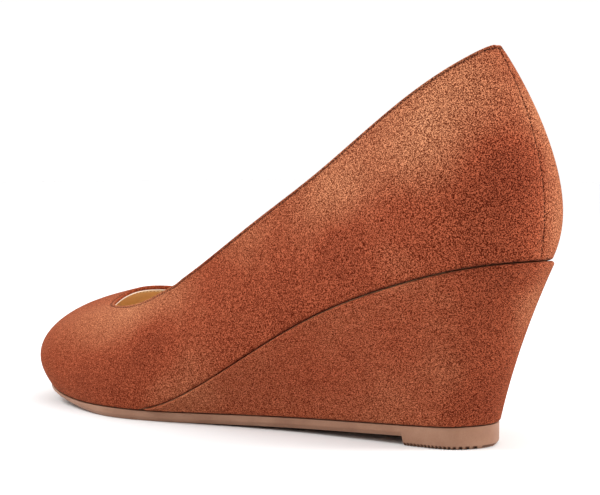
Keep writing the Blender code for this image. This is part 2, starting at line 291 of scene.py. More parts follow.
def outward(plan, where):
    """Unit normals of a plan curve that runs from the back round the lateral side."""
    before = np.stack(plan(where - HAIR_SHARE))
    after = np.stack(plan(where + HAIR_SHARE))
    along_x, along_y = (after - before) / np.hypot(*(after - before))
    return -along_y, along_x


def level_outward(plan, where):
    """The same normals as level vectors in space."""
    x, y = outward(plan, where)
    return np.stack([x, y, np.zeros_like(x)], -1)


def drawn_in(plan, where, distance):
    """A plan curve moved inwards, square to itself, by a distance."""
    x, y = plan(where)
    side_x, side_y = outward(plan, where)
    return x - distance * side_x, y - distance * side_y


def stations(steps):
    """Even places from the back to the toe, with a number of steps between two stations."""
    return np.linspace(0, HALF, HALF * steps + 1)


def all_round(lateral):
    """Places down the lateral side to the toe, then back along the medial side."""
    return np.concatenate([lateral, 2 * HALF - lateral[-2:0:-1]])


def from_seam(where):
    """Stations from the back seam, the shorter way round, as a column."""
    return np.abs(np.where(where > HALF, where - 2 * HALF, where))[:, None]


def ease(value):
    """Smooth step from 0 to 1: three times the square less twice the cube."""
    value = np.clip(value, 0, 1)
    return value * value * (3 - 2 * value)


def sole_thickness(x):
    """Even from the lift to the ball, then eased down to the toe's thickness."""
    start, end = (place_along(share) for share in THINNING_SHARES)
    return SOLE_THICKNESS + (TOE_THICKNESS - SOLE_THICKNESS) * ease((x - start) / (end - start))


def sole_spring(x):
    """Height of the underside in front of the ball, a power curve up to the toe spring."""
    start = place_along(SPRING_START_SHARE)
    share = np.clip((x - start) / (place_along(1) - start), 0, None)
    return TOE_SPRING * share**SPRING_EASE


def sole_arch(x):
    """How far the sole's top has risen behind the ball, a power curve up to the lift's height."""
    end = place_along(ARCH_END_SHARE)
    share = np.clip((end - x) / (end + LIFT_LENGTH / 2), 0, None)
    return (LIFT_HEIGHT - SOLE_THICKNESS) * share**ARCH_EASE


def sole_top(x):
    """Height of the sole's upper face: its thickness, the toe spring and the arch together."""
    return sole_thickness(x) + sole_spring(x) + sole_arch(x)


def wedge_rise(x):
    """Thickness of the wedge, which runs out to nothing at the ball."""
    where = stations(FINE)
    pitch = np.interp(x, feather_plan(where)[0], feather("pitch", where))
    return WEDGE_RISE * np.clip(pitch, 0, None)


def foot_height(x):
    """Height of what the upper and the insole stand on: the wedge on its gap, or the sole."""
    rise = wedge_rise(x)
    return sole_top(x) + rise + CLEARANCE * np.clip(rise / WEDGE_EDGE, 0, 1)


def on_foot(plan_points):
    """Points of a plan, one clearance above what the upper and the insole stand on."""
    x, y = plan_points
    return np.stack([x, y, foot_height(x) + CLEARANCE], -1)


def wall_values(name, where):
    """A column of the wall table around the loop, in metres."""
    values = column(WALL_ROWS, WALL_COLUMNS, name)
    return BALL_WIDTH * closed_spline(values, values, where)


def topline(where):
    """Points of the topline: shares of the back's and the vamp's height above the foot."""
    forward, lateral, medial, of_back, of_vamp, more = (
        column(TOP_ROWS, TOP_COLUMNS, name) for name in TOP_COLUMNS[1:])
    x = place_along(closed_spline(forward, forward, where))
    y = BALL_WIDTH * closed_spline(lateral, -medial, where)
    above = (BACK_HEIGHT * closed_spline(of_back, of_back, where)
             + VAMP_HEIGHT * closed_spline(of_vamp, of_vamp + more, where))
    return np.stack([x, y, above + foot_height(feather_plan(where)[0])], -1)


def bezier(t, start, lower, upper, end):
    """Cubic Bezier: the four points weighed by the cubes and products of t and 1 - t."""
    return (1 - t)**3 * start + 3 * t * (1 - t)**2 * lower + 3 * t**2 * (1 - t) * upper + t**3 * end


def upper_surface(where, shares):
    """Outer face of the upper, a grid of places by shares of the way from sole to topline.

    Each place is a cubic Bezier from the feather line to the topline. Its lower handle
    swells outwards as it rises, and its upper handle leans outwards below the topline.
    """
    side = level_outward(feather_plan, where)
    swell, rise, lean, fall = (wall_values(name, where)[:, None] for name in WALL_COLUMNS[1:])
    foot = on_foot(feather_plan(where))
    head = topline(where)
    low = foot + side * swell + UP * rise
    high = head + side * lean - UP * fall
    foot, low, high, head = (points[:, None, :] for points in (foot, low, high, head))
    return bezier(np.atleast_2d(shares)[..., None], foot, low, high, head)


def unit(vectors):
    """Vectors divided by their own lengths; a vector of no length stays as it is."""
    return vectors / np.maximum(np.linalg.norm(vectors, axis=-1, keepdims=True), NO_LENGTH)


def surface_normals(grid):
    """Outward unit normals of a grid that is closed around: upward step crossed with the one around."""
    around = np.roll(grid, -1, axis=0) - np.roll(grid, 1, axis=0)
    return unit(np.cross(np.gradient(grid, axis=1), around))


def upper_places():
    """Places around the upper, closer together beside the back seam."""
    near = np.linspace(-SEAM_SPAN, SEAM_SPAN, SEAM_PLACES, endpoint=False)
    rest = np.linspace(SEAM_SPAN, 2 * HALF - SEAM_SPAN, AROUND, endpoint=False)
    return np.concatenate([near, rest])


def end_speed(where, across, along):
    """Length that a step of 1 covers at one end of the wall's Bezier: three times its handle."""
    return 3 * np.hypot(wall_values(across, where), wall_values(along, where))[:, None]


def shares_below(where, depths):
    """Shares of the wall's Bezier that lie at given depths below the topline."""
    return 1 - np.asarray(depths)[None, :] / end_speed(where, "lean", "fall")


def wall_shares(where):
    """Rows up the wall as shares of its Bezier: even ones, then close ones below the topline."""
    close = shares_below(where, np.linspace(EDGE_BAND, EDGE_ROLL, EDGE_ROW_COUNT))
    start = TUCK / end_speed(where, "swell", "rise")
    even = start + (close[:, :1] - start) * np.linspace(0, 1, WALL_ROW_COUNT, endpoint=False)
    return np.concatenate([even, close], axis=1)


def bump(distance, width):
    """A bell of height 1: e to the power of minus the square of distance over width."""
    return np.exp(-(distance / width)**2)


def upper_relief(where, points, depths):
    """Small forms of the upper, in metres outwards: the back seam and the topline's stitched groove."""
    at_back = ease(2 - from_seam(where) / SEAM_SPAN)
    across = points[..., 1]
    seam = SEAM_DEPTH * bump(across, SEAM_WIDTH) + SEAM_PUCKER_DEPTH * bump(across, SEAM_PUCKER)
    groove = STITCH_GROOVE * bump(depths - STITCH_DOWN, STITCH_GROOVE_WIDTH)
    return -at_back * seam - groove


def outer_face(where, shares):
    """The upper's outer face with its small forms, its plain face, its normals and row depths."""
    plain = upper_surface(where, shares)
    normals = surface_normals(plain)
    depths = (1 - shares) * end_speed(where, "lean", "fall")
    relief = upper_relief(where, plain, depths)
    return plain + normals * relief[..., None], plain, normals, depths


def rounded(before, corner, after, reach, rows=5):
    """Rows over a soft corner: a quadratic Bezier that leaves and rejoins its legs at the reach."""
    start = (corner + reach * unit(before - corner))[:, None]
    end = (corner + reach * unit(after - corner))[:, None]
    t = np.linspace(0, 1, rows)[None, :, None]
    return (1 - t)**2 * start + 2 * t * (1 - t) * corner[:, None] + t**2 * end


def half_turn(start, outwards, upwards, radius, rows, square=1.0):
    """Rows over a fold: a half circle from start, over the top, to twice the radius inside.

    Its cosine and sine are raised to the power called square, which fills its corners out.
    """
    angles = np.linspace(0, math.pi, rows)[None, 1:, None]
    cosine = np.sign(np.cos(angles)) * np.abs(np.cos(angles))**square
    sine = np.clip(np.sin(angles), 0, 1)**square
    centre = (start - outwards * radius)[:, None]
    return centre + radius * (outwards[:, None] * cosine + upwards[:, None] * sine)


def grid_faces(grid, closed=True):
    """Quads of a grid whose places close around, and whose rows close too where asked."""
    places, rows = grid.shape[:2]
    place = np.arange(places)[:, None]
    row = np.arange(rows if closed else rows - 1)[None, :]
    beyond = (place + 1) % places * rows
    above = (row + 1) % rows
    corners = (place * rows + row, place * rows + above, beyond + above, beyond + row)
    return np.stack(np.broadcast_arrays(*corners), -1).reshape(-1, 4)


def new_piece(name, points, faces, finish, slot, *nodes, sharp_degrees=60, **masks):
    """One shown piece from arrays: merged where points meet, turned outwards, shaded smooth."""
    points = points.reshape(-1, 3)
    mesh = bpy.data.meshes.new(name)
    mesh.vertices.add(len(points))
    mesh.vertices.foreach_set("co", points.ravel())
    mesh.loops.add(faces.size)
    mesh.loops.foreach_set("vertex_index", faces.ravel())
    mesh.polygons.add(len(faces))
    mesh.polygons.foreach_set("loop_start", np.arange(0, faces.size, faces.shape[1]))
    mesh.update(calc_edges=True)
    for mask, values in masks.items():
        layer = mesh.attributes.new(mask, "FLOAT", "POINT")
        layer.data.foreach_set("value", values.ravel())
    solid = bmesh.new()
    solid.from_mesh(mesh)
    bmesh.ops.remove_doubles(solid, verts=solid.verts, dist=SAME_POINT)
    bmesh.ops.recalc_face_normals(solid, faces=solid.faces)
    solid.to_mesh(mesh)
    solid.free()
    mesh.shade_smooth()
    mesh.set_sharp_from_angle(angle=math.radians(sharp_degrees))
    mesh.materials.append(finish)
    piece = bpy.data.objects.new(name, mesh)
    bpy.context.scene.collection.objects.link(piece)
    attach(piece, "root")
    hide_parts(*nodes)


class Value:
    """A number in a shader. Each operator adds one Math node to its tree."""

    def __init__(self, tree, socket):
        self.tree = tree
        self.socket = socket

    def math(self, operation, *values):
        return self.tree.add("ShaderNodeMath", dict(enumerate(values)), operation=operation)

    def __add__(self, other):
        return self.math("ADD", self, other)

    __radd__ = __add__

    def __sub__(self, other):
        return self.math("SUBTRACT", self, other)

    def __rsub__(self, other):
        return self.math("SUBTRACT", other, self)

    def __mul__(self, other):
        return self.math("MULTIPLY", self, other)

    __rmul__ = __mul__


class Tree:
    """The nodes of a material or of the world."""

    def __init__(self, owner):
        owner.use_nodes = True
        self.nodes = owner.node_tree.nodes
        self.links = owner.node_tree.links

    def add(self, kind, sockets=None, output=0, stops=None, **settings):
        """Any node: its settings first, then its sockets' values or links, and one output back."""
        node = self.nodes.new(kind)
        for name, value in settings.items():
            setattr(node, name, value)
        if stops:
            ramp = node.color_ramp.elements
            while len(ramp) < len(stops):
                ramp.new(0.5)
            for stop, (position, colour) in zip(ramp, stops):
                stop.position = position
                stop.color = (*colour, 1)
        for name, value in (sockets or {}).items():
            self.put(node.inputs[name], value)
        return Value(self, node.outputs[output])

    def put(self, socket, value):
        """Links a value from another node, or sets a plain one."""
        if isinstance(value, Value):
            self.links.new(value.socket, socket)
        else:
            socket.default_value = value


class Finish(Tree):
    """One material: a Principled shader and the nodes that feed it."""

    def __init__(self, name):
        self.material = bpy.data.materials.new(name)
        super().__init__(self.material)
        self.shader = self.nodes["Principled BSDF"]

    def set(self, **sockets):
        """Sockets of the shader, named with underscores for spaces."""
        for name, value in sockets.items():
            self.put(self.shader.inputs[name.replace("_", " ")], value)

    def places(self, stretch=(1, 1, 1)):
        """Object coordinates, stretched along the axes."""
        where = self.add("ShaderNodeTexCoord", output="Object")
        return self.add("ShaderNodeMapping", {"Vector": where, "Scale": stretch})

    def noise(self, where, size, detail=2.0, roughness=0.5, distortion=0.0):
        """Cloudy noise with features of a size in metres, from about 0 to 1."""
        sockets = {"Vector": where, "Scale": 1 / size, "Detail": detail, "Roughness": roughness,
                   "Distortion": distortion}
        return self.add("ShaderNodeTexNoise", sockets)

    def mask(self, name):
        """One of the piece's own masks."""
        return self.add("ShaderNodeAttribute", output="Fac", attribute_name=name)

    def ramp(self, value, *stops):
        """A colour for a value, blended between stops of (position, colour)."""
        return self.add("ShaderNodeValToRGB", {"Fac": value}, stops=stops)

    def mix(self, factor, first, second, blend="MIX"):
        """Two colours mixed."""
        sockets = {"Factor": factor, 6: first, 7: second}
        return self.add("ShaderNodeMix", sockets, output=2, data_type="RGBA", blend_type=blend)

    def between(self, value, low, high):
        """A value spread so that low is 0 and high is 1, and held there."""
        sockets = {"Value": value, "From Min": low, "From Max": high}
        return self.add("ShaderNodeMapRange", sockets, clamp=True)

    def raise_by(self, height, distance, strength=1.0):
        """Bump of a height between 0 and 1 that stands up by a distance."""
        sockets = {"Height": height, "Distance": distance, "Strength": strength}
        self.set(Normal=self.add("ShaderNodeBump", sockets))


def napped_cloth(name, depth, stretch):
    """Short nap: a rust body with painted light and shade in soft patches, times a grain of darker
    hairs.

    The tone picks the body's colour: the patches of painted light and shade, a mottle and wide
    patches move it from its middle. The hairs pick what the body is multiplied by: the grain, as
    crisp as its mask says, and tufts. The shade mask paints shade into seams and edges. Sheen gives
    pale rims edge on.
    """
    finish = Finish(name)
    where = finish.places(stretch)
    crisp = finish.mask("crisp")
    grain = finish.noise(where, GRAIN_SIZE, detail=0, distortion=0.7)
    tufts = finish.noise(where, TUFT_SIZE, detail=1)
    mottle = finish.noise(where, MOTTLE_SIZE, detail=3, roughness=0.6)
    patches = finish.noise(where, PATCH_SIZE)
    # The tone carries the patches of painted light and shade
    tone = (0.50 + depth + MOTTLE_WEIGHT * (mottle - 0.5) + PATCH_WEIGHT * (patches - 0.5)
            + PAINTED_LIGHT_AND_NAP_WEIGHT * finish.mask("brushed"))
    body = finish.ramp(tone,
                       (0.00, (0.070, 0.010, 0.005)),
                       (0.25, (0.270, 0.049, 0.024)),
                       (0.50, (0.526, 0.120, 0.056)),
                       (0.75, (0.805, 0.304, 0.152)),
                       (1.00, (1.000, 0.620, 0.400)))
    hairs = 0.5 + GRAIN_WEIGHT * crisp * (grain - 0.5) + TUFT_WEIGHT * (tufts - 0.5)
    nap = finish.ramp(hairs,
                      (0.00, (0.15, 0.08, 0.065)),
                      (0.50, (0.42, 0.38, 0.36)),
                      (1.00, (0.92, 1.00, 1.00)))
    colour = finish.mix(1.0, body, nap, "MULTIPLY")
    shade = finish.mask("shade")
    dark = finish.mix(1.0, colour, (0.12, 0.05, 0.05, 1), "MULTIPLY")
    finish.set(Base_Color=finish.mix(shade, colour, dark), Roughness=0.9, Sheen_Weight=0.10,
               Sheen_Roughness=0.30, Sheen_Tint=(1.0, 0.76, 0.52, 1), Specular_IOR_Level=0.0)
    finish.raise_by(crisp * grain + TUFT_HEIGHT * tufts, distance=NAP_HEIGHT)
    return finish.material


def lining_cloth():
    """Smooth golden lining with a faint grain, and a cream cut edge."""
    finish = Finish("lining")
    where = finish.places()
    grain = finish.noise(where, size=0.0008, detail=3, roughness=0.6)
    cloud = finish.noise(where, size=0.012)
    tone = 0.6 * grain + 0.4 * cloud
    colour = finish.ramp(tone, (0.30, (0.80, 0.56, 0.32)), (0.55, (0.88, 0.65, 0.39)),
                         (0.80, (0.94, 0.73, 0.48)))
    finish.set(Base_Color=finish.mix(finish.mask("cut_edge"), colour, (0.97, 0.94, 0.88, 1)),
               Roughness=0.62, Specular_IOR_Level=0.3, Sheen_Weight=0.1, Sheen_Roughness=0.5)
    finish.raise_by(grain, distance=0.00006, strength=0.6)
    return finish.material


def sock_sheet():
    """Golden beige sock: close grain with a slight polish."""
    finish = Finish("sock")
    where = finish.places()
    pores = finish.add("ShaderNodeTexVoronoi", {"Vector": where, "Scale": 1 / 0.0011})
    cloud = finish.noise(where, size=0.016, detail=3)
    colour = finish.ramp(cloud, (0.30, (0.72, 0.47, 0.24)), (0.55, (0.82, 0.57, 0.31)),
                         (0.80, (0.88, 0.65, 0.40)))
    finish.set(Base_Color=colour, Roughness=0.5, Specular_IOR_Level=0.35)
    finish.raise_by(pores, distance=0.00008, strength=0.5)
    return finish.material


def sole_rubber():
    """Matte moulded rubber, rosy tan, with faint cloudiness, a fine skin and painted shade in its
    grooves.
    """
    finish = Finish("sole rubber")
    where = finish.places()
    skin = finish.noise(where, size=0.00045, roughness=0.6)
    cloud = finish.noise(where, size=0.011, detail=3, roughness=0.55)
    tone = 0.25 * skin + 0.75 * cloud
    colour = finish.ramp(tone, (0.30, (0.246, 0.114, 0.066)), (0.50, (0.296, 0.146, 0.086)),
                         (0.72, (0.360, 0.194, 0.122)))
    # Painted shade in the grooves, where the groove mask says
    dark = finish.mix(1.0, colour, (0.34, 0.22, 0.16, 1), "MULTIPLY")
    colour = finish.mix(finish.mask("groove"), colour, dark)
    rough = 0.38 + 0.4 * finish.between(skin, low=-0.6, high=2.2)
    finish.set(Base_Color=colour, Roughness=rough, Specular_IOR_Level=0.4)
    finish.raise_by(skin, distance=0.00005, strength=0.5)
    return finish.material


def thread(name, dark, light):
    """Twisted thread, shaded along its length."""
    finish = Finish(name)
    ply = finish.noise(finish.places(), size=0.00025)
    finish.set(Base_Color=finish.ramp(ply, (0.3, dark), (0.7, light)), Roughness=0.8,
               Specular_IOR_Level=0.1)
    finish.raise_by(ply, distance=0.00004, strength=0.6)
    return finish.material


# Soft patches of painted light and shade, partly the nap's own lay: centre, radius in metres,
# and how much lighter or darker
PAINTED_LIGHT_AND_NAP = (
    ("bright quarter", (0.004, 0.023, 0.098), 0.024, 0.58),
    ("bright topline", (0.038, 0.026, 0.080), 0.016, 0.52),
    ("bright low topline", (0.072, 0.026, 0.065), 0.012, 0.30),
    ("bright middle", (-0.003, 0.025, 0.091), 0.013, 0.28),
    ("bright waist", (0.006, 0.029, 0.059), 0.010, 0.22),
    ("bright back", (-0.010, 0.014, 0.112), 0.018, 0.42),
    ("bright throat", (0.104, 0.030, 0.044), 0.012, 0.42),
    ("dark side of vamp", (0.110, 0.037, 0.022), 0.012, -0.14),
    ("bright vamp", (0.129, 0.031, 0.033), 0.019, 0.60),
    ("bright vamp edge", (0.127, 0.027, 0.039), 0.009, 0.22),
    ("bright toe", (0.152, 0.028, 0.028), 0.017, 0.34),
    ("bright tip", (0.093, 0.038, 0.013), 0.015, 0.40),
    ("bright side", (0.026, 0.027, 0.080), 0.012, 0.26),
    ("dark quarter", (0.000, 0.028, 0.074), 0.013, -0.28),
    ("dark waist", (0.024, 0.028, 0.062), 0.012, -0.38),
    ("dark counter", (-0.025, 0.013, 0.083), 0.016, -0.56),
    ("dark seat", (-0.024, 0.014, 0.054), 0.012, -0.30),
    ("bright back strip", (-0.028, -0.009, 0.086), 0.018, 0.50),
    ("bright high strip", (-0.024, -0.007, 0.104), 0.009, 0.45),
    ("bright low strip", (-0.030, -0.010, 0.068), 0.010, 0.40),
    ("dark flank", (0.126, 0.042, 0.015), 0.022, -0.30),
    ("dark toe side", (0.103, 0.037, 0.026), 0.011, -0.34),
    ("dark counter edge", (-0.028, 0.006, 0.086), 0.007, -0.14),
    ("bright wedge foot", (0.018, 0.017, 0.005), 0.010, 0.13),
    ("bright wedge", (-0.004, 0.017, 0.026), 0.009, 0.13),
    ("bright wedge rim", (-0.026, -0.003, 0.044), 0.008, 0.30),
    ("dark wedge edge", (-0.020, 0.010, 0.038), 0.008, -0.18),
    ("dark wedge back", (-0.016, 0.003, 0.015), 0.011, -0.48),
)


def brushed_mask(points):
    """Sum of bells around the patches of painted light and shade, each scaled by its strength."""
    total = np.zeros(points.shape[:-1])
    for _, centre, radius, strength in PAINTED_LIGHT_AND_NAP:
        total += strength * bump(np.linalg.norm(points - np.array(centre), axis=-1), radius)
    return total


def crisp_mask(points):
    """Strength of the grain: close and even at the heel, laid flatter towards the toe."""
    share = np.clip((points[..., 0] - place_along(0)) / LENGTH, 0, 1)
    return CRISP_HEEL + (CRISP_TOE - CRISP_HEEL) * share**CRISP_FALL


def behind_ball(x):
    """1 along the wedge seam, eased to 0 where it ends at the ball."""
    return ease((SEAM_SHADE_END - x) / SEAM_SHADE_FADE)


def make_upper(finish):
    """Napped cloth: outer wall, fold over the topline, its tail inside, and the turned-in foot."""
    where = upper_places()
    shares = wall_shares(where)
    wall, plain, normals, depths = outer_face(where, shares)
    corner = on_foot(feather_plan(where))
    inside = on_foot(drawn_in(feather_plan, where, CLOTH + TUCK))
    reach = np.linalg.norm(wall[:, 0] - corner, axis=-1)[:, None]
    tuck = rounded(inside, corner, wall[:, 0], reach)[:, :-1]
    upwards = unit(wall[:, -1] - wall[:, -2])
    fold = half_turn(wall[:, -1], normals[:, -1], upwards, EDGE_ROLL, ROLL_ROWS, FOLD_SQUARE)
    tail_end = FOLD_SHOWN + FOLD_TAIL + EDGE_ROLL
    inner = plain - normals * np.where(depths < tail_end, 2 * EDGE_ROLL, CLOTH)[..., None]
    hidden = inner[:, -2::-1]
    grid = np.concatenate([tuck, wall, fold, hidden], axis=1)
    edge = np.concatenate([np.full(tuck.shape[:2], FAR_BELOW), depths, np.zeros(fold.shape[:2]),
                           depths[:, -2::-1]], axis=1)
    foot = np.linspace(1, 0, tuck.shape[1] + 1)[None, :]
    shade = np.zeros(grid.shape[:2])
    shade[:, :foot.shape[1]] += SEAM_SHADE * foot * behind_ball(grid[:, :1, 0])
    kept = 1 - THROAT_FADE * ease((grid[..., 0] - THROAT_FADE_START) / THROAT_FADE_LENGTH)
    shade += STITCH_SHADE * bump(edge - STITCH_DOWN, STITCH_GROOVE_WIDTH) * (edge > 0) * kept
    outside = tuck.shape[1] + wall.shape[1]
    shade[:, :outside] += EDGE_SHADE * (edge < STITCH_DOWN)[:, :outside]
    shade += BACK_SEAM_SHADE * bump(grid[..., 1], BACK_SEAM_SHADE_WIDTH) * (from_seam(where) < 1)
    # Masks: patches of painted light and shade, the grain's strength, and painted shade in seams and
    # edges
    new_piece("upper_suede", grid, grid_faces(grid), finish, "suede", "upper",
              brushed=brushed_mask(grid), crisp=crisp_mask(grid), shade=np.clip(shade, 0, 1))


def lining_rows(where):
    """Rows of the wall's plain face up to the lining's cut edge, and what places the lining there.

    Those are its normals, the rows' depths below the edge, and how far inside it the lining
    lies, which eases from one distance to another over LINING_SETTLE.
    """
    edge = EDGE_ROLL + FOLD_SHOWN
    close = shares_below(where, edge + np.linspace(0, LINING_SETTLE[1], LINING_CLOSE_ROWS))
    even = close[:, -1:] * np.linspace(1, 0, LINING_EVEN_ROWS)[None, 1:]
    shares = np.concatenate([close, even], axis=1)[:, ::-1]
    plain = upper_surface(where, shares)
    depths = (1 - shares) * end_speed(where, "lean", "fall") - edge
    start, end = LINING_SETTLE
    settled = ease((depths - start) / (end - start))
    normals = surface_normals(plain)
    inset = WALL + LINING_IN + (LINING_FLAT - LINING_IN) * settled
    return plain, normals, depths, inset


def make_lining(finish):
    """Lining glued inside the wall: a cut edge below the fold, then down to the sock."""
    where = upper_places()
    plain, normals, depths, inset = lining_rows(where)
    inner = plain - normals * inset[..., None]
    outer = plain - normals * (inset - LINING_THICKNESS)[..., None]
    inner[:, 0] = on_foot(drawn_in(feather_plan, where, WALL + LINING_FLAT))
    outer[:, 0] = on_foot(drawn_in(feather_plan, where, WALL + LINING_FLAT - LINING_THICKNESS))
    upwards = unit(plain[:, -1] - plain[:, -2])
    lip = half_turn(outer[:, -1], normals[:, -1], upwards, LINING_THICKNESS / 2, LIP_ROWS)
    grid = np.concatenate([outer, lip, inner[:, -2::-1]], axis=1)
    cut = np.zeros(grid.shape[:2])
    cut[:, outer.shape[1] - 1:] = 1
    cut[:, outer.shape[1] + lip.shape[1]:] = ease(2 - depths[:, -2::-1] / CUT_EDGE)
    new_piece("lining", grid, grid_faces(grid), finish, "insole_sock", "upper", cut_edge=cut)


def paired_middle(loop):
    """The middle between each point of a loop and its partner on the other side."""
    return (loop + loop[-np.arange(len(loop))]) / 2


def cap_rows(loop, shares):
    """Rows that draw a loop in to its own middle line, at shares of the way."""
    t = np.asarray(shares)[None, :, None]
    return loop[:, None] * (1 - t) + paired_middle(loop)[:, None] * t


def make_sock(finish):
    """Insole board and sock: crowned a little, its edge turned up softly against the lining."""
    where = all_round(stations(PIECE_STEPS))
    bottom = on_foot(drawn_in(feather_plan, where, WALL + CLEARANCE))
    top = bottom + UP * INSOLE_THICKNESS
    shares = np.linspace(0, 1, SOCK_ROWS + 1)[1:] ** SOCK_CROWDING
    cover = cap_rows(top, shares)
    cover[..., 2] += SOCK_CURL * bump(shares, SOCK_CURL_SHARE) + SOCK_CROWN * shares
    base = cap_rows(bottom, [1, 0])
    soft = rounded(bottom, top, cover[:, 2], SOCK_ROUND)
    grid = np.concatenate([base, soft, cover[:, 3:]], axis=1)
    new_piece("sock", grid, grid_faces(grid, closed=False), finish, "insole_sock", "insole")


def wedge_front():
    """Place, in stations, where the wedge has thinned to its cut edge."""
    where = stations(FINE)
    return np.interp(-WEDGE_EDGE, -wedge_rise(feather_plan(where)[0]), where)


def make_wedge(finish):
    """Cloth-covered wedge: both edges quarter circles that stand proud, a Bezier between them."""
    lateral = np.linspace(0, wedge_front(), int(HALF * PIECE_STEPS * WEDGE_SHARE))
    where = np.concatenate([lateral, 2 * HALF - lateral[:0:-1]])
    x, y = sole_plan(where)
    foot = np.stack([x, y, sole_top(x) + CLEARANCE], -1)
    foot_side = level_outward(sole_plan, where)
    x, y = feather_plan(where)
    head = np.stack([x, y, foot_height(x)], -1)
    head_side = level_outward(feather_plan, where)
    turn = np.minimum(COVER_ROUND, THIN_ROUND_SHARE * (head - foot)[:, 2])[:, None]
    proud = turn * WEDGE_PROUD / COVER_ROUND
    low = foot + foot_side * proud + UP * turn
    high = head + head_side * proud - UP * turn
    reach = (high - low) / 3
    flare = np.array([FLARE_SHARE, FLARE_SHARE, 0])
    t = np.linspace(0, 1, WEDGE_ROWS)[None, :, None]
    corners = (low, low + reach * (1 - flare), high - reach * (1 + flare), high)
    side = bezier(t, *(points[:, None] for points in corners))
    angles = np.linspace(0, math.pi / 2, CORNER_ROWS + 1)[None, 1:, None]
    rise, inset = np.sin(angles), 1 - np.cos(angles)
    turn, foot_side, head_side = turn[:, None], foot_side[:, None], head_side[:, None]
    over = side[:, -1:] + turn * (UP * rise - head_side * inset)
    under = (side[:, :1] - turn * (UP * rise + foot_side * inset))[:, ::-1]
    grid = np.concatenate([cap_rows(under[:, 0], [1, 0.5]), under, side, over,
                           cap_rows(over[:, -1], [0.5, 1])], axis=1)
    shade = np.zeros(grid.shape[:2])
    shade[:, :CORNER_ROWS + 1] = np.linspace(HEM_SHADE, 0, CORNER_ROWS + 1)
    shade[:, -CORNER_ROWS:] = np.linspace(0, SEAM_SHADE, CORNER_ROWS) * behind_ball(grid[:, -1:, 0])
    # Masks: patches of painted light and shade, the grain's strength, and painted shade in seams and
    # edges
    new_piece("wedge_cover", grid, grid_faces(grid, closed=False), finish, "wedge_suede", "wedge",
              brushed=brushed_mask(grid), crisp=crisp_mask(grid), shade=shade)


def ribs(x, pitch):
    """Grooves between ribs: 1 in a groove and 0 on a rib, from a steep cosine."""
    return np.clip(RIB_MIDDLE - RIB_STEEPNESS * np.cos(2 * math.pi * x / pitch), 0, 1)


def sole_places():
    """Places around the sole: even ones, and ones that follow each rib and the lift's front."""
    fine = stations(4 * FINE)
    x = sole_plan(fine)[0]
    breast = np.array([LIFT_LENGTH / 2 - BREAST_SLANT, LIFT_LENGTH / 2])
    lift = np.arange(-LIFT_LENGTH / 2, breast[0], TREAD_PITCH / PLACES_PER_RIB)
    tread = np.arange(*FOREFOOT_TREAD, FOREFOOT_PITCH / PLACES_PER_RIB)
    followed = np.interp(np.concatenate([lift, tread]), x, fine)
    edges = np.interp(breast, x, fine)
    inner = np.concatenate([stations(PIECE_STEPS), followed])
    inner = inner[(inner < edges[0] - BREAST_GAP) | (inner > edges[1] + BREAST_GAP)]
    lateral = np.unique(np.concatenate([inner, edges]).round(6))
    for edge in edges:
        lateral[np.argmin(np.abs(lateral - edge))] = edge
    on_lift = lateral <= edges[0]
    return all_round(lateral), np.concatenate([on_lift, on_lift[-2:0:-1]])


def make_outsole(finish):
    """Moulded sole and lift: soft edges, a bevel below, and ribs across the lift and the tread."""
    where, on_lift = sole_places()
    x, y = sole_plan(where)
    top = np.stack([x, y, sole_top(x)], -1)
    under = sole_top(x) - sole_thickness(x)
    middle = np.where(on_lift, LIFT_BEVEL_HEIGHT, under + SOLE_BEVEL_SHARE * sole_thickness(x))
    edge = np.stack([x, y, middle], -1)
    x, y = drawn_in(sole_plan, where, SOLE_BEVEL)
    under = sole_top(x) - sole_thickness(x)
    bottom = np.stack([x, y, np.where(on_lift, 0, under)], -1)
    floor_rows = cap_rows(bottom, np.linspace(0, 1, SOLE_ROWS + 1)[1:] ** SOLE_CROWDING)
    groove = TREAD_DEPTH * ribs(x, TREAD_PITCH) * on_lift
    from_edge = np.abs(floor_rows[..., 1] - bottom[:, None, 1])
    start, end = FOREFOOT_TREAD
    in_tread = (ease((x - start) / TREAD_FADE) * ease((end - x) / TREAD_FADE))[:, None]
    tread = FOREFOOT_DEPTH * ribs(x, FOREFOOT_PITCH)[:, None] * in_tread
    floor_rows[..., 2] += groove[:, None] + tread * ease(from_edge / TREAD_MARGIN - 0.5)
    bevel = rounded(edge, bottom, floor_rows[:, 0], SOFT_EDGE, 4)
    bevel[..., 2] += groove[:, None]
    grid = np.concatenate([
        cap_rows(top, [1, 0.5]),
        rounded(paired_middle(top) + NUDGE, top, edge, SOFT_EDGE, 4),
        rounded(top, edge, bottom, 2 * SOFT_EDGE / 3, 4),
        bevel,
        floor_rows], axis=1)
    below = bevel.shape[1] + floor_rows.shape[1]
    # Painted shade in the lift's grooves, and some on the rows just above them on its side
    groove_shade = np.zeros(grid.shape[:2])
    groove_shade[:, -below:] = (groove / TREAD_DEPTH)[:, None]
    groove_shade[:, -below - 2:-below] = GROOVE_SHADE_ABOVE * (groove / TREAD_DEPTH)[:, None]
    new_piece("outsole_rubber", grid, grid_faces(grid, closed=False), finish, "sole_rubber",
              "outsole", sharp_degrees=40, groove=groove_shade)


def even_places(where, points, pitch):
    """Places spaced a pitch apart along a closed row of points."""
    steps = np.linalg.norm(np.roll(points, -1, axis=0) - points, axis=-1)
    run = np.concatenate([[0], np.cumsum(steps)])
    count = round(run[-1] / pitch)
    around = np.append(where, where[0] + 2 * HALF)
    return np.interp((np.arange(count) + 0.5) * run[-1] / count, run, around)


def read_points(spots, places, values):
    """Points or vectors of a row, read between its places."""
    return np.stack([np.interp(spots, places, values[:, axis]) for axis in range(3)], -1)


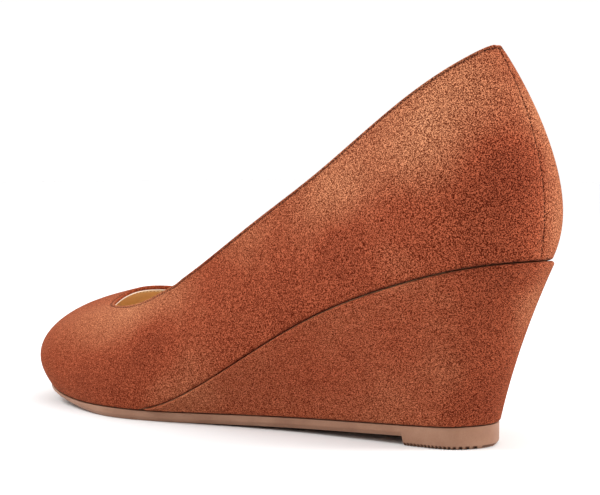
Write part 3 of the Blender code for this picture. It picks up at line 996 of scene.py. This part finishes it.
def thread_bits(centres, along, across, outwards, length, width):
    """Short threads as one array: for each, rings of points that swell from tip to middle.

    A ring's radius is the square root of one less the fourth power of its place from -1 to 1,
    times half the width, and the ends sink with the square of that place.
    """
    t = np.linspace(-1, 1, THREAD_RINGS)[:, None]
    angle = np.linspace(0, 2 * math.pi, THREAD_SIDES, endpoint=False)[None, :]
    size = np.sqrt(np.clip(1 - t**4, 0, 1)) * width / 2
    forward = np.broadcast_to(t * length / 2, (THREAD_RINGS, THREAD_SIDES))
    upward = size * np.sin(angle) - THREAD_SAG * width * t**2
    shapes = ((along, forward), (across, size * np.cos(angle)), (outwards, upward))
    points = centres[:, None, None, :] + sum(vectors[:, None, None, :] * shape[None, :, :, None]
                                             for vectors, shape in shapes)
    ring = np.arange(THREAD_RINGS - 1)[:, None] * THREAD_SIDES
    side = np.arange(THREAD_SIDES)[None, :]
    beyond = (side + 1) % THREAD_SIDES
    corners = (ring + side, ring + beyond, ring + THREAD_SIDES + beyond, ring + THREAD_SIDES + side)
    one = np.stack(np.broadcast_arrays(*corners), -1).reshape(-1, 4)
    offsets = np.arange(len(centres))[:, None, None] * THREAD_RINGS * THREAD_SIDES
    return points, (one[None] + offsets).reshape(-1, 4)


def make_topline_stitches(finish):
    """One row of stitches around the outer face, a little below the folded edge."""
    where = upper_places()
    row = upper_surface(where, shares_below(where, [STITCH_DOWN]))[:, 0]
    spots = even_places(where, row, STITCH_PITCH)
    shares = shares_below(spots, STITCH_DOWN + BESIDE_STITCH * np.array([1, 0, -1]))
    face, _, normals, _ = outer_face(spots, shares)
    along = unit(np.roll(face[:, 1], -1, axis=0) - np.roll(face[:, 1], 1, axis=0))
    outwards = normals[:, 1]
    points, faces = thread_bits(face[:, 1], along, np.cross(outwards, along), outwards,
                                STITCH_LENGTH, STITCH_WIDTH)
    new_piece("topline_stitches", points, faces, finish, "suede", "upper")


def make_lining_stitches(finish):
    """The same row seen inside, on the lining below its cut edge."""
    where = upper_places()
    plain, normals, depths, inset = lining_rows(where)
    row = np.argmin(np.abs(depths[0] - LINING_STITCH_DOWN))
    line = (plain - normals * inset[..., None])[:, row]
    spots = even_places(where, line, STITCH_PITCH)
    around = np.append(where, where[0] + 2 * HALF)
    centres, outwards = (read_points(spots, around, np.concatenate([values, values[:1]]))
                         for values in (line, normals[:, row]))
    inwards = -unit(outwards)
    along = unit(np.roll(centres, -1, axis=0) - np.roll(centres, 1, axis=0))
    points, faces = thread_bits(centres, along, np.cross(inwards, along), inwards,
                                STITCH_LENGTH, STITCH_WIDTH)
    new_piece("lining_stitches", points, faces, finish, "insole_sock", "upper")


def make_seam_stitches(finish):
    """Dark thread that shows down in the trough of the closed back seam."""
    where = BESIDE_SEAM * np.array([-1, 0, 1])
    plain = upper_surface(where, np.linspace(*SEAM_STITCH_ENDS, SEAM_POINTS))
    upward = unit(np.gradient(plain, axis=1))[1]
    around = unit(plain[2] - plain[0])
    outwards = unit(np.cross(upward, around))
    line = plain[1] - outwards * (SEAM_DEPTH + SEAM_PUCKER_DEPTH - SEAM_STITCH_UP)
    run = np.concatenate([[0], np.cumsum(np.linalg.norm(np.diff(line, axis=0), axis=-1))])
    spots = np.arange(0.5, int(run[-1] / SEAM_STITCH_PITCH)) * SEAM_STITCH_PITCH
    centres, along, out = (read_points(spots, run, values) for values in (line, upward, outwards))
    points, faces = thread_bits(centres, along, np.cross(out, along), out,
                                SEAM_STITCH_LENGTH, SEAM_STITCH_WIDTH)
    new_piece("back_seam_stitches", points, faces, finish, "suede", "upper")


# The photograph's camera
CAMERA_PLACE = (-0.30996, 0.39795, 0.0880)
CAMERA_YAW = 43.693  # degrees from +X towards -Y
CAMERA_PITCH = 3.0  # degrees down
CAMERA_LENS = 96.47  # mm
SENSOR_WIDTH = 36  # mm

# Start and end of each blend of light, as cosines, and the strength at each
SIDE_LIGHT = (0.1, 0.95, 1.03, 0.12)
SKY_LIGHT = (0.25, 0.95, 0.0, 0.60)

# Soft boxes: name, place, size, power and colour
SOFT_BOXES = (
    ("key", (0.70, 0.65, 0.95), (0.7, 0.7), 8.0, (1.0, 1.0, 1.0)),
    ("fill", (-0.20, 0.60, 0.35), (0.3, 0.3), 0.5, (1.0, 1.0, 1.0)),
    ("rear rim", (-0.75, -0.55, 0.60), (0.4, 0.7), 10.0, (1.0, 0.97, 0.94)),
)
LIT_POINT = (0.07, 0.0, 0.05)
FLOOR_REACH = 6.0


def area_light(name, place, size, power, colour):
    """A soft box that looks at the middle of the shoe."""
    data = bpy.data.lights.new(name, "AREA")
    data.shape = "RECTANGLE"
    data.size, data.size_y = size
    data.energy = power
    data.color = colour
    light = bpy.data.objects.new(name, data)
    light.location = place
    light.rotation_euler = (Vector(LIT_POINT) - Vector(place)).to_track_quat("-Z", "Y").to_euler()
    bpy.context.scene.collection.objects.link(light)


def make_surroundings():
    """White all round, brighter overhead and darker where the camera stands.

    The strength is an eased fall from the far side to the camera's side, plus an eased rise
    from the horizon to the sky.
    """
    world = bpy.data.worlds.new("studio")
    tree = Tree(world)
    direction = tree.add("ShaderNodeTexCoord", output="Generated")
    yaw = math.radians(CAMERA_YAW)

    def blend(axis, ends):
        facing = tree.add("ShaderNodeVectorMath", {0: direction, 1: axis}, output="Value",
                          operation="DOT_PRODUCT")
        sockets = dict(zip(("From Min", "From Max", "To Min", "To Max"), ends), Value=facing)
        return tree.add("ShaderNodeMapRange", sockets, interpolation_type="SMOOTHSTEP")

    background = tree.nodes["Background"].inputs
    background["Color"].default_value = (1, 1, 1, 1)
    tree.put(background["Strength"], blend((-math.sin(yaw), math.cos(yaw), 0), SIDE_LIGHT)
             + blend((0, 0, 1), SKY_LIGHT))
    bpy.context.scene.world = world


def make_studio():
    """White floor, white surroundings and soft boxes."""
    mesh = bpy.data.meshes.new("floor")
    corners = ((-1, -1), (1, -1), (1, 1), (-1, 1))
    mesh.from_pydata([(FLOOR_REACH * x, FLOOR_REACH * y, 0) for x, y in corners], [],
                     [(0, 1, 2, 3)])
    paper = Finish("white floor")
    paper.set(Base_Color=(0.82, 0.82, 0.82, 1), Roughness=0.9, Specular_IOR_Level=0.1)
    mesh.materials.append(paper.material)
    floor = bpy.data.objects.new("floor", mesh)
    bpy.context.scene.collection.objects.link(floor)
    make_surroundings()
    for box in SOFT_BOXES:
        area_light(*box)


def make_camera():
    """Camera at the photograph's place: behind the lateral side, just above the topline's level."""
    yaw, pitch = math.radians(CAMERA_YAW), math.radians(CAMERA_PITCH)
    look = Vector((math.sin(yaw) * math.cos(pitch), -math.cos(yaw) * math.cos(pitch), -math.sin(pitch)))
    data = bpy.data.cameras.new("camera")
    data.lens = CAMERA_LENS
    data.sensor_width = SENSOR_WIDTH
    data.clip_start = 0.01
    camera = bpy.data.objects.new("camera", data)
    camera.location = CAMERA_PLACE
    camera.rotation_euler = look.to_track_quat("-Z", "Y").to_euler()
    bpy.context.scene.collection.objects.link(camera)
    bpy.context.scene.camera = camera


suede = napped_cloth("napped cloth", 0.0, (1, 1, 1))
wedge_suede = napped_cloth("wedge cloth", 0.03, (1, 1, 1.5))
lining = lining_cloth()
dark_thread = thread("dark thread", (0.022, 0.006, 0.004), (0.060, 0.017, 0.010))
pale_thread = thread("pale thread", (0.30, 0.17, 0.09), (0.48, 0.31, 0.18))

make_outsole(sole_rubber())
make_wedge(wedge_suede)
make_upper(suede)
make_lining(lining)
make_sock(sock_sheet())
make_topline_stitches(dark_thread)
make_lining_stitches(pale_thread)
make_seam_stitches(dark_thread)
make_studio()
make_camera()
bpy.context.scene.view_settings.view_transform = "Standard"
